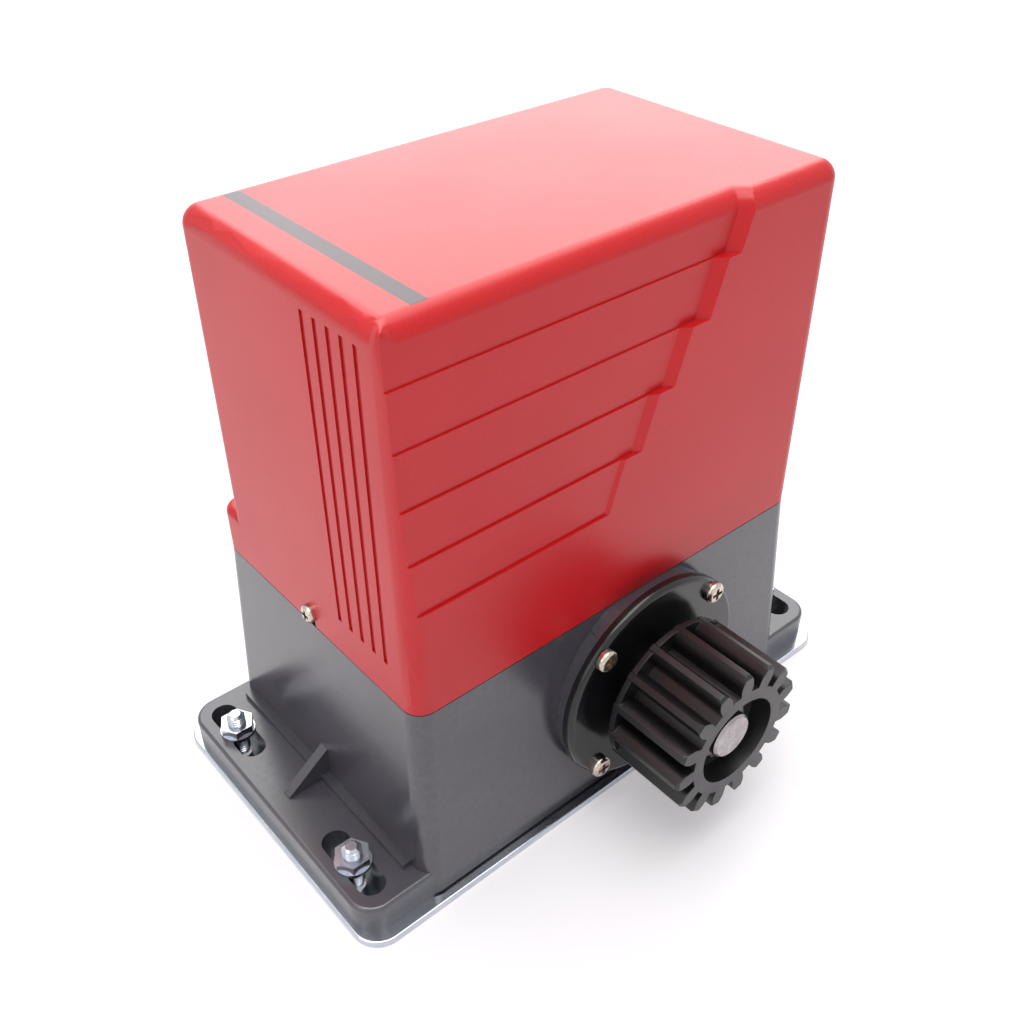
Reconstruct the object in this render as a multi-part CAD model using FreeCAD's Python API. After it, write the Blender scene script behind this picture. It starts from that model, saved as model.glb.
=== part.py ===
import FreeCAD, Part
import math
import os
from FreeCAD import Vector

# Sliding gate motor. Millimetres. The origin is the centre of the mounting plate's underside,
# +Z is up, X runs along the gate and the rack pinion stands out of the -Y face.

# ---- driving dimensions ----
plateLength = 270.0
plateWidth = 150.0
plateThick = 3.0
plateCornerR = 12.0
plateEdgeR = 0.8                   # rounded upper edge
anchorX, anchorY = 64.0, 50.0      # ground anchors, half spacings
anchorHoleR = 5.25
cableHoleR = 14.0                  # in the plate, under the grommet

studX, studY = 121.5, 45.0         # half spacings of the four M8 studs
studR = 4.0
studTop = 27.0
nutFlats, nutHigh = 13.0, 4.0      # M8 thin nuts
washerR, washerHoleR, washerThick = 7.5, 4.3, 1.6

bodyLength, bodyWidth = 202.0, 133.0   # outside of base and cover where they meet
bodyCornerR = 8.0
seamZ = 99.0
baseFloorZ = 4.2                   # underside of the base between its feet
baseFloorThick = 5.0
baseWall = 4.0
baseDraft = math.radians(2.6)      # the base widens downwards
earLength, earWidth = 266.0, 139.0
earThick = 13.5
earCornerR = 11.0
footInner = 84.0                   # |x| where the feet under the body begin
slotLength, slotWidth = 36.0, 11.5
earEdgeR = 1.5                     # rounded upper edge of the ears
gussetReach, gussetHigh, gussetThick = 19.5, 16.5, 4.5
stripWide, stripHigh, stripShort = 4.0, 2.5, 6.0

coverHigh = 150.0
coverWall = 3.0
coverDraft = math.radians(0.1)
coverTopR = 7.0
coverGap = 0.4                     # seam between cover and base
ledgeHigh, ledgeDeep = 21.0, 19.0  # step in the cover's rear wall
ledgeR = 3.0
panelBottoms = [130.0, 109.0, 88.0, 67.0, 46.0]   # above the seam
panelEnds = [47.0, 34.0, 18.5, 4.0, -11.0]        # x of each panel's lower right corner
panelDepths = [4.2, 3.5, 2.8, 2.0, 1.1]
panelLean = 7.0                    # how far a panel's end wall leans over its height
panelRamp = 4.0                    # width of the sloped end wall
grooveCount, groovePitch, grooveStart = 5, 7.1, 16.0
grooveWide, grooveDeep = 2.2, 1.2
grooveLow, grooveHigh = 17.0, 141.0
coverScrewZ = 6.0                  # above the seam
coverScrewR = 2.0
notchR = 2.6

axisX, axisZ = 10.0, 56.2          # output shaft
flangeR = 47.5
flangeEdgeR = 2.5                  # rounded edge of the flange's face
flangeThick = 4.4
padR, padProud = 46.0, 4.6         # machined boss that carries the flange, out from the wall at the shaft
flangeScrewR, flangeScrewDeep = 43.0, 14.0   # pitch radius of the four flange screws and their length
hubR = 29.0                        # spigot of the flange inside the housing
m5R = 2.5
shaftR = 10.0
sealR, sealWide = 17.5, 7.0
sealSink = 1.0                     # seal below the flange face
bearingA = (20.0, 42.0, 12.0)      # bore, outside, width of the front bearing
bearingB = (17.0, 35.0, 10.0)      # rear bearing
bearingC = (12.0, 28.0, 8.0)       # worm bearings
bearingD = (8.0, 22.0, 7.0)        # rotor's top bearing

pinionModule, pinionTeeth = 4.0, 15
pinionPhase = 15.9                 # degrees from +X up to the middle of a tooth
pinionFaceY = -122.0
pinionWidth = 37.3                 # teeth and the end disc behind them
pinionDiscR, pinionDiscThick = 33.4, 2.5
pinionRecessR, pinionRecessDeep = 19.5, 9.0
pinionHubR = 16.0
shaftSunk = 2.5                    # end of the shaft below the pinion's face
ringGrip, ringThick = 2.4, 1.2     # retaining ring that keeps the pinion on the shaft
keyWide, keyHigh, keyLong = 6.0, 6.0, 24.0

wormModule, wheelTeeth, wormPitchR = 2.0, 31, 9.0
wormY = -14.0                      # mid plane of the worm wheel
wheelWide = 16.0
wormLong = 40.0
meshBacklash = 0.25

clutchR, clutchLong, clutchTravel = 17.0, 14.0, 4.0
dogHigh, dogCount = 3.0, 4

lidThick = 7.0
lidZ = 91.5                        # underside of the gearbox lid
lidBossHigh = 6.5                  # boss under the lid that seats the upper worm bearing
gasketThick = 1.0
lidScrewR, lidPostR = 2.5, 6.0
chamberWall = 5.0
frontRail = 7.0                    # height of the rail that carries the lid's front edge
rearWallY, rearWallThick = 26.0, 6.0
wormSeatZ = 19.0                   # underside of the lower worm bearing

leverX, leverZ = -42.0, 60.0       # hinge of the release lever
leverLong, leverHigh, leverThick = 84.0, 22.0, 8.0
leverPinR = 2.5
leverProud = 1.0                   # lever's face outside the rear wall at the seam
bayDeep = 3.0                      # free depth behind the lever
lockR, lockInset = 7.0, 16.0       # lock plug and its distance from the lever's free end
forkRodR = 3.0

tabWide = 16.0                     # upright tabs that take the cover's screws
lipWall, lipHigh = 2.0, 4.0        # rim inside the cover's edge
sealInset = 1.0                    # cover's soft strip behind the outside face
grommetX, grommetY, grommetR = -72.0, 0.0, 8.0

motorR, motorLong, motorWall = 38.0, 92.0, 2.5
magnetThick, airGap = 5.0, 1.0
bellHigh = 16.0

boardX, boardThick = 52.5, 1.6
boardWide, boardTall = 92.0, 104.0
boardRaise = 14.0                  # bottom of the board above the gearbox lid

clearance = 0.3                    # between parts that pass each other
runFit = 0.03                      # radial running clearance on shafts

# ---- places worked out from the sizes above ----
halfL, halfW = bodyLength / 2, bodyWidth / 2
earTop = plateThick + earThick
floorTop = baseFloorZ + baseFloorThick
wheelPitchR = wormModule * wheelTeeth / 2
motorX = axisX - wheelPitchR - wormPitchR
coverZ = seamZ + coverGap
coverTop = seamZ + coverHigh
lidFrontY = -halfW + 7.0
padY = -halfW - (seamZ - axisZ) * math.tan(baseDraft) - padProud
flangeFaceY = padY - flangeThick
sealY = flangeFaceY + sealSink
frontBearingY = sealY + sealWide
shaftEndY = pinionFaceY + shaftSunk
recessFloorY = pinionFaceY + pinionRecessDeep
ringSeatR = shaftR - 0.6
leverFaceY = halfW + leverProud
leverPivotY = leverFaceY - leverThick / 2
lockX = leverX + leverLong - lockInset
forkRodX = axisX - clutchR - 10
forkRodEnd = leverFaceY - leverThick - clearance
motorBase = lidZ + lidThick
rotorTop = motorBase + motorLong - 6
bellTop = motorBase + motorLong + bellHigh
boardZ = motorBase + boardRaise
X, Y, Z = Vector(1, 0, 0), Vector(0, 1, 0), Vector(0, 0, 1)


# ---- small helpers ----
def block(x0, x1, y0, y1, z0, z1):
    return Part.makeBox(x1 - x0, y1 - y0, z1 - z0, Vector(x0, y0, z0))


def rod(radius, length, start, direction):
    return Part.makeCylinder(radius, length, Vector(*start), direction)


def tube(outer, inner, length, start, direction):
    return rod(outer, length, start, direction).cut(rod(inner, length, start, direction))


def roundedWire(x0, x1, y0, y1, radius, z):
    # closed rectangle with arc corners, always starting on the same edge
    h = radius * (1 - math.sqrt(0.5))
    p = [(x0 + radius, y0), (x1 - radius, y0), (x1, y0 + radius), (x1, y1 - radius),
         (x1 - radius, y1), (x0 + radius, y1), (x0, y1 - radius), (x0, y0 + radius)]
    mids = [(x1 - h, y0 + h), (x1 - h, y1 - h), (x0 + h, y1 - h), (x0 + h, y0 + h)]
    v = [Vector(a, b, z) for a, b in p]
    m = [Vector(a, b, z) for a, b in mids]
    edges = []
    for i in range(4):
        edges.append(Part.makeLine(v[2 * i], v[2 * i + 1]))
        edges.append(Part.Arc(v[2 * i + 1], m[i], v[(2 * i + 2) % 8]).toShape())
    return Part.Wire(edges)


def slab(x0, x1, y0, y1, radius, z0, z1):
    return Part.Face(roundedWire(x0, x1, y0, y1, radius, z0)).extrude(Vector(0, 0, z1 - z0))


def drafted(lower, upper, radius, z0, z1):
    # block whose rounded rectangle goes from the lower outline to the upper one
    return Part.makeLoft([roundedWire(*lower, radius, z0), roundedWire(*upper, radius, z1)], True, True)


def prism(points, direction):
    ring = [Vector(*p) for p in points]
    return Part.Face(Part.makePolygon(ring + [ring[0]])).extrude(direction)


def hexagon(flats, height, at, direction):
    r = flats / 2 / math.cos(math.pi / 6)
    ring = [Vector(r * math.cos(i * math.pi / 3), r * math.sin(i * math.pi / 3), 0) for i in range(6)]
    nut = Part.Face(Part.makePolygon(ring + [ring[0]])).extrude(Vector(0, 0, height))
    cone = Part.makeCone(r + height, r * 0.93, height + r * 0.07, Vector(0, 0, 0), Z)
    return turned(nut.common(cone), direction, at)


def turned(shape, direction, at):
    # stands a shape made along +Z on the given axis
    shape.Placement = FreeCAD.Placement(Vector(*at), FreeCAD.Rotation(Z, direction))
    return shape


def panHead(shankR, length, at, inward):
    # pan-head screw; `at` is the centre of the seat under the head, inward the way it screws in
    headR, headHigh = shankR * 1.9, shankR * 1.3
    head = Part.makeCylinder(headR, headHigh, Vector(0, 0, 0), Vector(0, 0, -1))
    head = head.makeFillet(headHigh * 0.6, [e for e in head.Edges if abs(e.BoundBox.ZMax + headHigh) < 1e-6])
    slotSize = shankR * 0.32
    for k in range(2):
        cut = block(-headR * 0.6, headR * 0.6, -slotSize, slotSize, -headHigh - 1, -headHigh * 0.45)
        cut.rotate(Vector(0, 0, 0), Z, 90 * k)
        head = head.cut(cut)
    return turned(head.fuse(Part.makeCylinder(shankR, length)), inward, at)


def fillet(shape, radius, test):
    return shape.makeFillet(radius, [e for e in shape.Edges if test(e)])


def outline(z, draft, inset=0.0, rear=None):
    # body outline at height z, widened or narrowed from the seam by the draft
    grow = (seamZ - z) * math.tan(draft) - inset
    back = halfW if rear is None else rear
    return (-halfL - grow, halfL + grow, -halfW - grow, back + grow)


def fourWay(x, y):
    return [(sx * x, sy * y) for sx in (-1, 1) for sy in (-1, 1)]


def bearing(size, centre, direction):
    # inner ring, outer ring and the balls' cage as one closed unit with grooved faces
    bore, outside, width = size
    unit = tube(outside / 2, bore / 2, width, (0, 0, 0), Z)
    mid = (bore + outside) / 4
    band = (outside - bore) / 4 * 0.45
    for z0 in (0, width - 0.6):
        unit = unit.cut(tube(mid + band, mid - band, 0.6, (0, 0, z0), Z))
    return turned(unit, direction, centre)


# ---- plate and its studs ----
def mountingPlate():
    half, side = plateLength / 2, plateWidth / 2
    plate = slab(-half, half, -side, side, plateCornerR, 0, plateThick)
    plate = fillet(plate, plateEdgeR, lambda e: e.BoundBox.ZMin > plateThick - 0.01)
    plate = plate.cut(rod(cableHoleR, plateThick, (grommetX, grommetY, 0), Z))
    for x, y in fourWay(anchorX, anchorY):
        plate = plate.cut(rod(anchorHoleR, plateThick, (x, y, 0), Z))
    for x, y in fourWay(studX, studY):
        plate = plate.cut(rod(studR, plateThick, (x, y, 0), Z))
    return plate


def anchorStuds():
    studs = []
    for x, y in fourWay(studX, studY):
        stud = rod(studR, studTop, (x, y, 0), Z)
        studs.append(stud.makeChamfer(0.8, [e for e in stud.Edges if e.BoundBox.ZMin > studTop - 0.01]))
    return Part.makeCompound(studs)


def studWashers():
    return Part.makeCompound([tube(washerR, washerHoleR, washerThick, (x, y, earTop), Z)
                              for x, y in fourWay(studX, studY)])


def studNuts():
    return Part.makeCompound([hexagon(nutFlats, nutHigh, (x, y, earTop + washerThick), Z).cut(
        rod(studR, nutHigh + 2, (x, y, earTop), Z)) for x, y in fourWay(studX, studY)])


# ---- base ----
def baseFeet():
    half, side = earLength / 2, earWidth / 2
    ears = slab(-half, half, -side, side, earCornerR, plateThick, earTop)
    ears = fillet(ears, earEdgeR, lambda e: e.BoundBox.ZMin > earTop - 0.01)
    wallX = halfL + (seamZ - earTop) * math.tan(baseDraft)
    slotHalf = slotWidth / 2
    feet = []
    for s in (-1, 1):
        foot = ears.common(block(*sorted((s * footInner, s * half)), -side, side, 0, earTop))
        strip = block(*sorted((s * (wallX - 2), s * (wallX + stripWide))),
                      stripShort - halfW, halfW - stripShort, earTop - 1, earTop + stripHigh)
        heel, toe = s * (wallX - 2), s * (wallX + gussetReach)
        low = -gussetThick / 2
        gusset = prism([(heel, low, earTop - 1), (toe, low, earTop - 1), (toe, low, earTop + 0.6),
                        (heel, low, earTop + gussetHigh)], Vector(0, gussetThick, 0))
        foot = foot.fuse([strip, gusset])
        for t in (-1, 1):
            x, y = s * studX, t * studY
            foot = foot.cut(slab(x - slotHalf, x + slotHalf, y - slotLength / 2, y + slotLength / 2,
                                 slotHalf - 0.01, plateThick - 1, earTop + 3))
        feet.append(foot)
    return feet


def gearChamber():
    # closed walls around the worm wheel; the lid closes the top
    x0, x1 = chamberEnds()
    y1 = rearWallY + rearWallThick
    outer = block(x0 - chamberWall, x1 + chamberWall, -halfW, y1, floorTop - 1, lidZ - gasketThick)
    inner = block(x0, x1, -halfW - 5, rearWallY, floorTop - 2, lidZ - frontRail)
    mouth = block(x0, x1, lidFrontY + chamberWall, rearWallY, lidZ - frontRail - 1, lidZ)
    return outer, inner.fuse(mouth)


def chamberEnds():
    return motorX - wormPitchR - 17.0, axisX + wheelPitchR + 5.5


def baseHousing():
    bottom, top = baseFloorZ, seamZ
    outer = drafted(outline(bottom, baseDraft), outline(top, baseDraft), bodyCornerR, bottom, top)
    inner = drafted(outline(floorTop, baseDraft, baseWall), outline(top + 1, baseDraft, baseWall),
                    bodyCornerR - baseWall, floorTop, top + 1)
    pad = rod(padR, 12, (axisX, padY, axisZ), Y).common(block(-halfL, halfL, -halfW * 2, 0, 0, seamZ))
    shell = outer.fuse(pad).cut(inner)
    chamberOut, chamberIn = gearChamber()
    chamber = chamberOut.cut(chamberIn).common(outer)
    rearBoss = rod(bearingB[1] / 2 + 5, bearingB[2] + 2, (axisX, rearWallY, axisZ), Y)
    wormBoss = rod(bearingC[1] / 2 + 4, wormSeatZ - floorTop + bearingC[2] + 1,
                   (motorX, wormY, floorTop - 1), Z)
    lugs = [rod(m5R + 3.5, flangeScrewDeep - 1, (x, padY + 0.5, z), Y) for x, z in flangeScrewPlaces()]
    lidPosts = [rod(lidPostR, lidZ - gasketThick - floorTop + 1, (x, y, floorTop - 1), Z)
                for x, y in lidScrewPlaces()]
    lipOut, lipIn = coverWall + clearance, coverWall + clearance + lipWall
    lip = slab(*outline(top, coverDraft, lipOut), bodyCornerR - coverWall, top - 4, top + lipHigh)
    lip = lip.cut(slab(*outline(top, coverDraft, lipIn), bodyCornerR - coverWall - lipWall,
                       top - 5, top + lipHigh + 1))
    tabs = []
    for s in (-1, 1):
        face = halfL - coverWall - clearance - 0.3
        tabs.append(block(*sorted((s * (face - 6), s * face)), -tabWide / 2, tabWide / 2,
                          top - 18, top + coverScrewZ + 7))
    cups = [rod(anchorHoleR + 9.5, 17, (x, y, baseFloorZ), Z) for x, y in fourWay(anchorX, anchorY)]
    shell = shell.fuse([chamber, rearBoss, wormBoss, lip, bayWalls()] + lugs + lidPosts + tabs + cups)
    shell = shell.fuse(baseFeet())
    for x, y in fourWay(anchorX, anchorY):
        shell = shell.cut(rod(anchorHoleR + 7, 14.5, (x, y, baseFloorZ - 0.5), Z))
    shell = shell.cut(rod(hubR + clearance / 3, 40, (axisX, padY - 1, axisZ), Y))
    shell = shell.cut(rod(bearingB[1] / 2, bearingB[2], (axisX, rearWallY, axisZ), Y))
    shell = shell.cut(rod(bearingB[0] / 2 + 2, 30, (axisX, rearWallY - 1, axisZ), Y))
    shell = shell.cut(rod(bearingC[1] / 2, 20, (motorX, wormY, wormSeatZ), Z))
    shell = shell.cut(rod(bearingC[0] / 2 + 2, 20, (motorX, wormY, wormSeatZ - 4), Z))
    for x, z in flangeScrewPlaces():
        shell = shell.cut(rod(m5R, flangeScrewDeep - flangeThick + 2, (x, padY - 1, z), Y))
    for x, y in lidScrewPlaces():
        shell = shell.cut(rod(lidScrewR, 14, (x, y, lidZ - gasketThick - 12), Z))
    for s in (-1, 1):
        shell = shell.cut(rod(coverScrewR, 14, (s * (halfL + 2), 0, seamZ + coverScrewZ), Vector(-s, 0, 0)))
    shell = shell.cut(rod(grommetR, 20, (grommetX, grommetY, 0), Z))
    return shell.cut(leverBay()).removeSplitter()


def flangeScrewPlaces():
    reach = flangeScrewR * math.sqrt(0.5)
    return [(axisX + x, axisZ + z) for x, z in fourWay(reach, reach)]


def lidScrewPlaces():
    x0, x1 = chamberEnds()
    return [(x, y) for x in (x0 - chamberWall / 2, x1 + chamberWall / 2)
            for y in (lidFrontY + 6, rearWallY + rearWallThick / 2)]


def leverBay():
    # recess in the rear wall that the release lever folds into, with holes for its pin and push rod
    half = leverHigh / 2 + 1.0
    inside = leverFaceY - leverThick - bayDeep
    bay = block(leverX - 10, leverX + leverLong + 2, inside, halfW + 20, leverZ - half, leverZ + half)
    pin = rod(leverPinR, leverHigh + 6, (leverX, leverPivotY, leverZ - leverHigh / 2 - 3), Z)
    push = rod(forkRodR + runFit * 2, 60, (forkRodX, 0, leverZ), Y)
    return bay.fuse([pin, push])


def bayWalls():
    half = leverHigh / 2 + 1.0 + 3.5
    inside = leverFaceY - leverThick - bayDeep - 3
    return block(leverX - 13.5, leverX + leverLong + 5.5, inside, halfW - 1, leverZ - half, leverZ + half)


# ---- output flange, bearings and seal ----
def outputFlange():
    body = rod(flangeR, flangeThick, (axisX, flangeFaceY, axisZ), Y)
    body = fillet(body, flangeEdgeR, lambda e: e.BoundBox.YMax < flangeFaceY + 0.01)
    body = body.fuse(rod(hubR, frontBearingY + bearingA[2] - padY, (axisX, padY, axisZ), Y))
    body = body.cut(rod(sealR - 1.5, flangeThick, (axisX, flangeFaceY - 1, axisZ), Y))
    body = body.cut(rod(sealR, sealWide, (axisX, sealY, axisZ), Y))
    body = body.cut(rod(bearingA[1] / 2, bearingA[2], (axisX, frontBearingY, axisZ), Y))
    for x, z in flangeScrewPlaces():
        body = body.cut(rod(m5R + clearance, flangeThick + 2, (x, flangeFaceY - 1, z), Y))
    return body.removeSplitter()


def flangeScrews():
    return Part.makeCompound([panHead(m5R, flangeScrewDeep, (x, flangeFaceY, z), Y)
                              for x, z in flangeScrewPlaces()])


def shaftSeal():
    ring = tube(sealR, sealR - 3, sealWide, (axisX, sealY, axisZ), Y)
    web = tube(sealR - 2.9, shaftR + runFit + 0.2, 2.5, (axisX, sealY, axisZ), Y)
    return ring.fuse(web).removeSplitter()


def frontBearing():
    return bearing((2 * shaftR + 2 * runFit, bearingA[1], bearingA[2]), (axisX, frontBearingY, axisZ), Y)


def rearBearing():
    return bearing((bearingB[0] + 2 * runFit, bearingB[1], bearingB[2]), (axisX, rearWallY, axisZ), Y)


# ---- output shaft, pinion, worm wheel ----
def involute(module, teeth):
    # closed wire of a standard spur gear in the XY plane
    pitchR = module * teeth / 2
    baseR = pitchR * math.cos(math.radians(20))
    tipR = pitchR + module
    rootR = pitchR - module * 1.25
    inv = lambda a: math.tan(a) - a
    half = math.pi / 2 / teeth
    def flankAngle(r):
        return half + inv(math.radians(20)) - inv(math.acos(min(1, baseR / r)))
    startR = max(rootR, baseR) + 0.02
    radii = [startR + (tipR - startR) * i / 3 for i in range(4)]
    at = lambda r, a: Vector(r * math.cos(a), r * math.sin(a), 0)
    edges = []
    step = 2 * math.pi / teeth
    for i in range(teeth):
        mid = i * step
        left = [at(r, mid - flankAngle(r)) for r in radii]
        right = [at(r, mid + flankAngle(r)) for r in reversed(radii)]
        footL, footR = at(rootR, mid - flankAngle(startR)), at(rootR, mid + flankAngle(startR))
        nextL = at(rootR, mid + step - flankAngle(startR))
        for side in (left, right):
            curve = Part.BSplineCurve()
            curve.interpolate(side)
            if side is left:
                tip = Part.Arc(left[-1], at(tipR, mid), right[0])
                edges += [Part.makeLine(footL, left[0]), curve.toShape(), tip.toShape()]
            else:
                root = Part.Arc(footR, at(rootR, mid + step / 2), nextL)
                edges += [curve.toShape(), Part.makeLine(right[-1], footR), root.toShape()]
    return Part.Wire(edges)


def drivePinion():
    # teeth that end in a disc at the back, a deep recess in the face and a hub towards the flange
    gear = Part.Face(involute(pinionModule, pinionTeeth)).extrude(Vector(0, 0, pinionWidth))
    tipR = pinionModule * (pinionTeeth / 2 + 1)
    bevel = Part.makeCone(tipR - 1.2, tipR + 0.8, 2.0, Vector(0, 0, 0), Z).fuse(
        rod(tipR + 0.8, pinionWidth, (0, 0, 2.0), Z))
    gear = gear.common(bevel)
    gear.rotate(Vector(0, 0, 0), Z, -pinionPhase)
    gear = gear.fuse(rod(pinionDiscR, pinionDiscThick, (0, 0, pinionWidth - pinionDiscThick), Z))
    hubEnd = flangeFaceY - clearance - pinionFaceY
    gear = gear.fuse(rod(pinionHubR, hubEnd - pinionWidth, (0, 0, pinionWidth), Z))
    gear = gear.cut(Part.makeCone(pinionRecessR, pinionRecessR - 1, pinionRecessDeep, Vector(0, 0, 0), Z))
    gear = gear.cut(rod(shaftR, hubEnd + 2, (0, 0, -1), Z))
    keyway = block(-keyWide / 2, keyWide / 2, -shaftR - keyHigh / 2, 0, pinionRecessDeep, hubEnd + 1)
    gear = gear.cut(keyway)
    gear.Placement = FreeCAD.Placement(Vector(axisX, pinionFaceY, axisZ), FreeCAD.Rotation(X, -90))
    return gear.removeSplitter()


def pinionKey():
    y0 = recessFloorY + 2
    return block(axisX - keyWide / 2, axisX + keyWide / 2, y0, y0 + keyLong,
                 axisZ + shaftR - keyHigh / 2, axisZ + shaftR + keyHigh / 2)


def retainingRing():
    # sprung ring with a gap and two eyes, in a groove of the shaft against the recess floor
    y0 = recessFloorY - ringThick
    ring = tube(shaftR + ringGrip, ringSeatR, ringThick, (axisX, y0, axisZ), Y)
    gap = block(axisX - 1.5, axisX + 1.5, y0 - 1, y0 + ringThick + 1, axisZ - shaftR - 5, axisZ)
    eyes = [rod(1.9, ringThick, (axisX + s * 3.4, y0, axisZ - shaftR - 1.6), Y) for s in (-1, 1)]
    ring = ring.cut(gap).fuse(eyes)
    for s in (-1, 1):
        ring = ring.cut(rod(0.8, ringThick + 2, (axisX + s * 3.4, y0 - 1, axisZ - shaftR - 1.6), Y))
    return ring.cut(rod(ringSeatR, ringThick + 2, (axisX, y0 - 1, axisZ), Y)).removeSplitter()


def outputShaft():
    rearEnd = rearWallY + bearingB[2]
    shaft = rod(shaftR, rearWallY - 1 - shaftEndY, (axisX, shaftEndY, axisZ), Y)
    shaft = shaft.fuse(rod(bearingB[0] / 2, rearEnd - rearWallY + 1, (axisX, rearWallY - 1, axisZ), Y))
    shaft = shaft.makeChamfer(1.0, [e for e in shaft.Edges if e.BoundBox.YMax < shaftEndY + 0.01])
    groove = tube(shaftR + 1, ringSeatR, ringThick, (axisX, recessFloorY - ringThick, axisZ), Y)
    drives = [block(axisX - 2.5, axisX + 2.5, wormY + wheelWide / 2 + 1, rearWallY - 6,
                    axisZ + s * shaftR - 1.5, axisZ + s * shaftR + 1.5) for s in (-1, 1)]
    return shaft.cut(pinionKey()).cut(groove).fuse(drives).removeSplitter()


def wormWheel():
    # helical teeth cut as a ruled loft between two turned profiles
    lead = math.atan(wormModule / (2 * wormPitchR))
    twist = math.degrees(wheelWide * math.tan(lead) / wheelPitchR)
    outline0 = gearPolygon(-wheelWide / 2, -twist / 2)
    outline1 = gearPolygon(wheelWide / 2, twist / 2)
    wheel = Part.makeLoft([outline0, outline1], True, True)
    wheel = wheel.cut(rod(shaftR + runFit, wheelWide + 2, (0, 0, -wheelWide / 2 - 1), Z))
    for z0 in (-wheelWide / 2, wheelWide / 2 - 3):
        wheel = wheel.cut(tube(wheelPitchR - 7, shaftR + 8, 3, (0, 0, z0), Z))
    for i in range(dogCount):
        wheel = wheel.cut(dog(i, wheelWide / 2 - dogHigh, dogHigh + 1, clearance))
    wheel.Placement = FreeCAD.Placement(Vector(axisX, wormY, axisZ), FreeCAD.Rotation(X, -90))
    return wheel


def gearPolygon(z, turnDeg):
    pitchR = wheelPitchR
    tipR, rootR = pitchR + wormModule * 0.9, pitchR - wormModule * 1.2
    step = 2 * math.pi / wheelTeeth
    half = (math.pi * wormModule / 4 - meshBacklash) / pitchR
    slope = math.tan(math.radians(20))
    points = []
    for i in range(wheelTeeth):
        mid = i * step + math.radians(turnDeg) + math.pi
        for r, side in ((rootR, -1), (tipR, -1), (tipR, 1), (rootR, 1)):
            a = mid + side * (half - (r - pitchR) * slope / pitchR)
            points.append(Vector(r * math.cos(a), r * math.sin(a), z))
    return Part.makePolygon(points + [points[0]])


def dog(i, z, high, grow):
    # one clutch tooth, a wedge on the ring's face
    a = 2 * math.pi * i / dogCount
    piece = block(shaftR + 2.5 - grow, clutchR - 1.5 + grow, -3 - grow, 3 + grow, z, z + high)
    piece.rotate(Vector(0, 0, 0), Z, math.degrees(a) + 45)
    return piece


def clutchRing():
    # slides on the shaft's drive keys; its dogs engage the worm wheel
    ring = rod(clutchR, clutchLong, (0, 0, 0), Z)
    ring = ring.cut(tube(clutchR + 1, clutchR - 3, 4, (0, 0, clutchLong / 2 - 2), Z))
    for i in range(dogCount):
        ring = ring.fuse(dog(i, -dogHigh + 0.4, dogHigh, 0))
    ring = ring.cut(rod(shaftR + runFit, clutchLong + 10, (0, 0, -5), Z))
    slotReach = shaftR + 1.5 + clearance
    ring = ring.cut(block(-2.5 - runFit * 2, 2.5 + runFit * 2, -slotReach, slotReach, -5, clutchLong + 1))
    place = Vector(axisX, wormY + wheelWide / 2 + 0.5, axisZ)
    ring.Placement = FreeCAD.Placement(place, FreeCAD.Rotation(X, -90))
    return ring


def shiftFork():
    # fork in the ring's groove, with a push rod out to the release lever's cam
    y0 = wormY + wheelWide / 2 + 0.5 + clutchLong / 2 - 2 + clearance
    thick = 4 - 2 * clearance
    plate = tube(clutchR + 7, clutchR - 3 + clearance, thick, (axisX, y0, axisZ), Y)
    plate = plate.common(block(axisX - 40, axisX + 40, y0, y0 + thick, axisZ, axisZ + 60))
    arm = block(forkRodX, axisX - clutchR - 0.5, y0, y0 + thick, axisZ, axisZ + 6)
    push = rod(forkRodR, forkRodEnd - y0, (forkRodX, y0, leverZ), Y)
    return plate.fuse([arm, push]).removeSplitter()


def releaseLever():
    y0, y1 = leverFaceY - leverThick, leverFaceY
    z0, z1 = leverZ - leverHigh / 2, leverZ + leverHigh / 2
    r = leverThick / 2
    end = leverX + leverLong
    body = block(leverX, end, y0, y1, z0, z1).fuse(rod(r, leverHigh, (leverX, y0 + r, z0), Z))
    body = fillet(body.removeSplitter(), 3.0,
                  lambda e: e.BoundBox.XMin > end - 0.01 and e.BoundBox.YLength > leverThick - 1)
    grip = block(end - 26, end - 6, y1 - 1.5, y1 + 1, z0 - 1, z0 + 3.5)
    thumb = rod(9, 3, (end - 44, y1 - 1.2, leverZ), Y)
    body = body.cut(grip).cut(thumb)
    body = body.cut(rod(leverPinR + runFit, leverHigh + 2, (leverX, leverPivotY, z0 - 1), Z))
    return body.cut(rod(lockR + runFit, leverThick - 1, (lockX, y0 + 1, leverZ), Y)).removeSplitter()


def lockPlug():
    y1 = leverFaceY
    plug = rod(lockR, leverThick - 1.2, (lockX, y1 - leverThick + 1.1, leverZ), Y)
    rim = tube(lockR - 1.0, lockR - 2.0, 1, (lockX, y1 - 0.5, leverZ), Y)
    slot = block(lockX - 0.9, lockX + 0.9, y1 - 5, y1 + 1, leverZ - 3.6, leverZ + 3.6)
    return plug.cut(rim).cut(slot)


def leverPin():
    return rod(leverPinR, leverHigh + 5, (leverX, leverPivotY, leverZ - leverHigh / 2 - 2.5), Z)


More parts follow.
